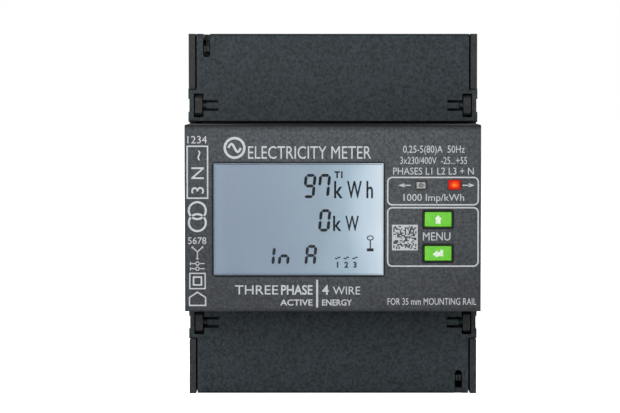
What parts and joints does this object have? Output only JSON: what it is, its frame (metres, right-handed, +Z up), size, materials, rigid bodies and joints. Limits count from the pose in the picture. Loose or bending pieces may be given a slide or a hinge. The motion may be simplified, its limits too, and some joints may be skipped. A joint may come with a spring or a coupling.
{
  "type": "smart electric meter",
  "caption": "Three-phase DIN-rail electricity meter with a backlit display, two keys, a lit lamp and hinged, sealable terminal covers above and below.",
  "frame": {"origin": "middle of the flat face on the back that seats on the DIN rail", "axes": "+X to the right seen from the front, +Y to the back, away from the display, +Z up"},
  "size_m": [0.0716, 0.0652, 0.0896],
  "materials": {
    "shell_grey": "fine spark-eroded texture, dark grey",
    "cover_grey": "fine spark-eroded texture, dark grey",
    "terminal_grey": "moulded, mid grey",
    "latch_black": "moulded, black",
    "spring_steel": "drawn wire",
    "window_clear": "clear polycarbonate",
    "lcd_glass": "backlit liquid-crystal panel, pale blue to white",
    "guide_acrylic": "edge-lit acrylic light guide",
    "frame_white": "moulded, white",
    "key_green": "satin green key caps",
    "lamp_red": "lit red lamp window",
    "circuit_board": "green solder mask",
    "switch_black": "moulded, black",
    "capacitor_sleeve": "shrink sleeve",
    "coil_tape": "coil wrapped with yellow tape",
    "copper": "bare copper strip",
    "plated_brass": "nickel-plated brass",
    "zinc_steel": "zinc-plated steel"
  },
  "bodies": {
    "housing": {"rear_housing": "shell_grey", "front_housing": "shell_grey", "terminal_block_upper": "terminal_grey", "terminal_block_lower": "terminal_grey", "rail_latch_spring": "spring_steel", "display_window": "window_clear", "left_light_pipe": "window_clear", "lcd_panel": "lcd_glass", "backlight_guide": "guide_acrylic", "lcd_frame": "frame_white", "right_light_pipe": "lamp_red", "main_board": "circuit_board", "display_board": "circuit_board", "riser_board": "circuit_board", "up_switch": "switch_black", "enter_switch": "switch_black", "supply_capacitor": "capacitor_sleeve", "current_transformer_1": "coil_tape", "current_transformer_2": "coil_tape", "current_transformer_3": "coil_tape", "current_bar_1": "copper", "current_bar_2": "copper", "current_bar_3": "copper", "upper_contact_1": "plated_brass", "upper_contact_2": "plated_brass", "upper_contact_3": "plated_brass", "upper_contact_4": "plated_brass", "upper_contact_5": "plated_brass", "upper_contact_6": "plated_brass"},
    "upper_cover": {"upper_terminal_cover": "cover_grey"},
    "lower_cover": {"lower_terminal_cover": "cover_grey"},
    "up_key": {"up_button": "key_green", "up_switch_plunger": "frame_white"},
    "enter_key": {"enter_button": "key_green", "enter_switch_plunger": "frame_white"},
    "rail_latch": {"rail_latch": "latch_black"},
    "screw_01": {"terminal_screw_01": "zinc_steel"},
    "cage_01": {"wire_cage_01": "plated_brass"},
    "screw_02": {"terminal_screw_02": "zinc_steel"},
    "cage_02": {"wire_cage_02": "plated_brass"},
    "screw_03": {"terminal_screw_03": "zinc_steel"},
    "cage_03": {"wire_cage_03": "plated_brass"},
    "screw_04": {"terminal_screw_04": "zinc_steel"},
    "cage_04": {"wire_cage_04": "plated_brass"},
    "screw_05": {"terminal_screw_05": "zinc_steel"},
    "cage_05": {"wire_cage_05": "plated_brass"},
    "screw_06": {"terminal_screw_06": "zinc_steel"},
    "cage_06": {"wire_cage_06": "plated_brass"},
    "screw_07": {"terminal_screw_07": "zinc_steel"},
    "cage_07": {"wire_cage_07": "plated_brass"},
    "screw_08": {"terminal_screw_08": "zinc_steel"},
    "cage_08": {"wire_cage_08": "plated_brass"},
    "screw_09": {"terminal_screw_09": "zinc_steel"},
    "cage_09": {"wire_cage_09": "plated_brass"},
    "screw_10": {"terminal_screw_10": "zinc_steel"},
    "cage_10": {"wire_cage_10": "plated_brass"},
    "screw_11": {"terminal_screw_11": "zinc_steel"},
    "cage_11": {"wire_cage_11": "plated_brass"},
    "screw_12": {"terminal_screw_12": "zinc_steel"},
    "cage_12": {"wire_cage_12": "plated_brass"}
  },
  "joints": [
    {"name": "upper_cover_hinge", "type": "hinge", "parent": "housing", "child": "upper_cover", "pos_m": [0, -0.0382, 0.027], "axis": [1, 0, 0], "range_deg": [0, 95]},
    {"name": "lower_cover_hinge", "type": "hinge", "parent": "housing", "child": "lower_cover", "pos_m": [0, -0.0382, -0.027], "axis": [-1, 0, 0], "range_deg": [0, 95]},
    {"name": "up_key_press", "type": "slide", "parent": "housing", "child": "up_key", "axis": [0, 1, 0], "range_m": [0, 0.0005], "stiffness_N_per_m": 1500, "springref_m": -0.0003},
    {"name": "enter_key_press", "type": "slide", "parent": "housing", "child": "enter_key", "axis": [0, 1, 0], "range_m": [0, 0.0005], "stiffness_N_per_m": 1500, "springref_m": -0.0003},
    {"name": "rail_latch_slide", "type": "slide", "parent": "housing", "child": "rail_latch", "axis": [0, 0, -1], "range_m": [0, 0.0035], "stiffness_N_per_m": 1500, "springref_m": -0.002, "deforming": ["rail_latch_spring"]},
    {"name": "wire_screw_01_turn", "type": "hinge", "parent": "housing", "child": "screw_01", "pos_m": [-0.027, -0.0303, 0.0368], "axis": [0, 1, 0], "range_deg": [0, 2160]},
    {"name": "wire_screw_02_turn", "type": "hinge", "parent": "housing", "child": "screw_02", "pos_m": [-0.0162, -0.0303, 0.0368], "axis": [0, 1, 0], "range_deg": [0, 2160]},
    {"name": "wire_screw_03_turn", "type": "hinge", "parent": "housing", "child": "screw_03", "pos_m": [-0.0054, -0.0303, 0.0368], "axis": [0, 1, 0], "range_deg": [0, 2160]},
    {"name": "wire_screw_04_turn", "type": "hinge", "parent": "housing", "child": "screw_04", "pos_m": [0.0054, -0.0303, 0.0368], "axis": [0, 1, 0], "range_deg": [0, 2160]},
    {"name": "wire_screw_05_turn", "type": "hinge", "parent": "housing", "child": "screw_05", "pos_m": [0.0162, -0.0303, 0.0368], "axis": [0, 1, 0], "range_deg": [0, 2160]},
    {"name": "wire_screw_06_turn", "type": "hinge", "parent": "housing", "child": "screw_06", "pos_m": [0.027, -0.0303, 0.0368], "axis": [0, 1, 0], "range_deg": [0, 2160]},
    {"name": "wire_screw_07_turn", "type": "hinge", "parent": "housing", "child": "screw_07", "pos_m": [0.027, -0.0303, -0.0368], "axis": [0, 1, 0], "range_deg": [0, 2160]},
    {"name": "wire_screw_08_turn", "type": "hinge", "parent": "housing", "child": "screw_08", "pos_m": [0.0162, -0.0303, -0.0368], "axis": [0, 1, 0], "range_deg": [0, 2160]},
    {"name": "wire_screw_09_turn", "type": "hinge", "parent": "housing", "child": "screw_09", "pos_m": [0.0054, -0.0303, -0.0368], "axis": [0, 1, 0], "range_deg": [0, 2160]},
    {"name": "wire_screw_10_turn", "type": "hinge", "parent": "housing", "child": "screw_10", "pos_m": [-0.0054, -0.0303, -0.0368], "axis": [0, 1, 0], "range_deg": [0, 2160]},
    {"name": "wire_screw_11_turn", "type": "hinge", "parent": "housing", "child": "screw_11", "pos_m": [-0.0162, -0.0303, -0.0368], "axis": [0, 1, 0], "range_deg": [0, 2160]},
    {"name": "wire_screw_12_turn", "type": "hinge", "parent": "housing", "child": "screw_12", "pos_m": [-0.027, -0.0303, -0.0368], "axis": [0, 1, 0], "range_deg": [0, 2160]},
    {"name": "wire_cage_01_slide", "type": "slide", "parent": "housing", "child": "cage_01", "axis": [0, -1, 0], "range_m": [0, 0.0036]},
    {"name": "wire_cage_02_slide", "type": "slide", "parent": "housing", "child": "cage_02", "axis": [0, -1, 0], "range_m": [0, 0.0036]},
    {"name": "wire_cage_03_slide", "type": "slide", "parent": "housing", "child": "cage_03", "axis": [0, -1, 0], "range_m": [0, 0.0036]},
    {"name": "wire_cage_04_slide", "type": "slide", "parent": "housing", "child": "cage_04", "axis": [0, -1, 0], "range_m": [0, 0.0036]},
    {"name": "wire_cage_05_slide", "type": "slide", "parent": "housing", "child": "cage_05", "axis": [0, -1, 0], "range_m": [0, 0.0036]},
    {"name": "wire_cage_06_slide", "type": "slide", "parent": "housing", "child": "cage_06", "axis": [0, -1, 0], "range_m": [0, 0.0036]},
    {"name": "wire_cage_07_slide", "type": "slide", "parent": "housing", "child": "cage_07", "axis": [0, -1, 0], "range_m": [0, 0.0036]},
    {"name": "wire_cage_08_slide", "type": "slide", "parent": "housing", "child": "cage_08", "axis": [0, -1, 0], "range_m": [0, 0.0036]},
    {"name": "wire_cage_09_slide", "type": "slide", "parent": "housing", "child": "cage_09", "axis": [0, -1, 0], "range_m": [0, 0.0036]},
    {"name": "wire_cage_10_slide", "type": "slide", "parent": "housing", "child": "cage_10", "axis": [0, -1, 0], "range_m": [0, 0.0036]},
    {"name": "wire_cage_11_slide", "type": "slide", "parent": "housing", "child": "cage_11", "axis": [0, -1, 0], "range_m": [0, 0.0036]},
    {"name": "wire_cage_12_slide", "type": "slide", "parent": "housing", "child": "cage_12", "axis": [0, -1, 0], "range_m": [0, 0.0036]}
  ],
  "couplings": [
    {"joint": "wire_screw_01_turn", "follows": "wire_cage_01_slide", "rad_per_m": 10472},
    {"joint": "wire_screw_02_turn", "follows": "wire_cage_02_slide", "rad_per_m": 10472},
    {"joint": "wire_screw_03_turn", "follows": "wire_cage_03_slide", "rad_per_m": 10472},
    {"joint": "wire_screw_04_turn", "follows": "wire_cage_04_slide", "rad_per_m": 10472},
    {"joint": "wire_screw_05_turn", "follows": "wire_cage_05_slide", "rad_per_m": 10472},
    {"joint": "wire_screw_06_turn", "follows": "wire_cage_06_slide", "rad_per_m": 10472},
    {"joint": "wire_screw_07_turn", "follows": "wire_cage_07_slide", "rad_per_m": 10472},
    {"joint": "wire_screw_08_turn", "follows": "wire_cage_08_slide", "rad_per_m": 10472},
    {"joint": "wire_screw_09_turn", "follows": "wire_cage_09_slide", "rad_per_m": 10472},
    {"joint": "wire_screw_10_turn", "follows": "wire_cage_10_slide", "rad_per_m": 10472},
    {"joint": "wire_screw_11_turn", "follows": "wire_cage_11_slide", "rad_per_m": 10472},
    {"joint": "wire_screw_12_turn", "follows": "wire_cage_12_slide", "rad_per_m": 10472}
  ]
}
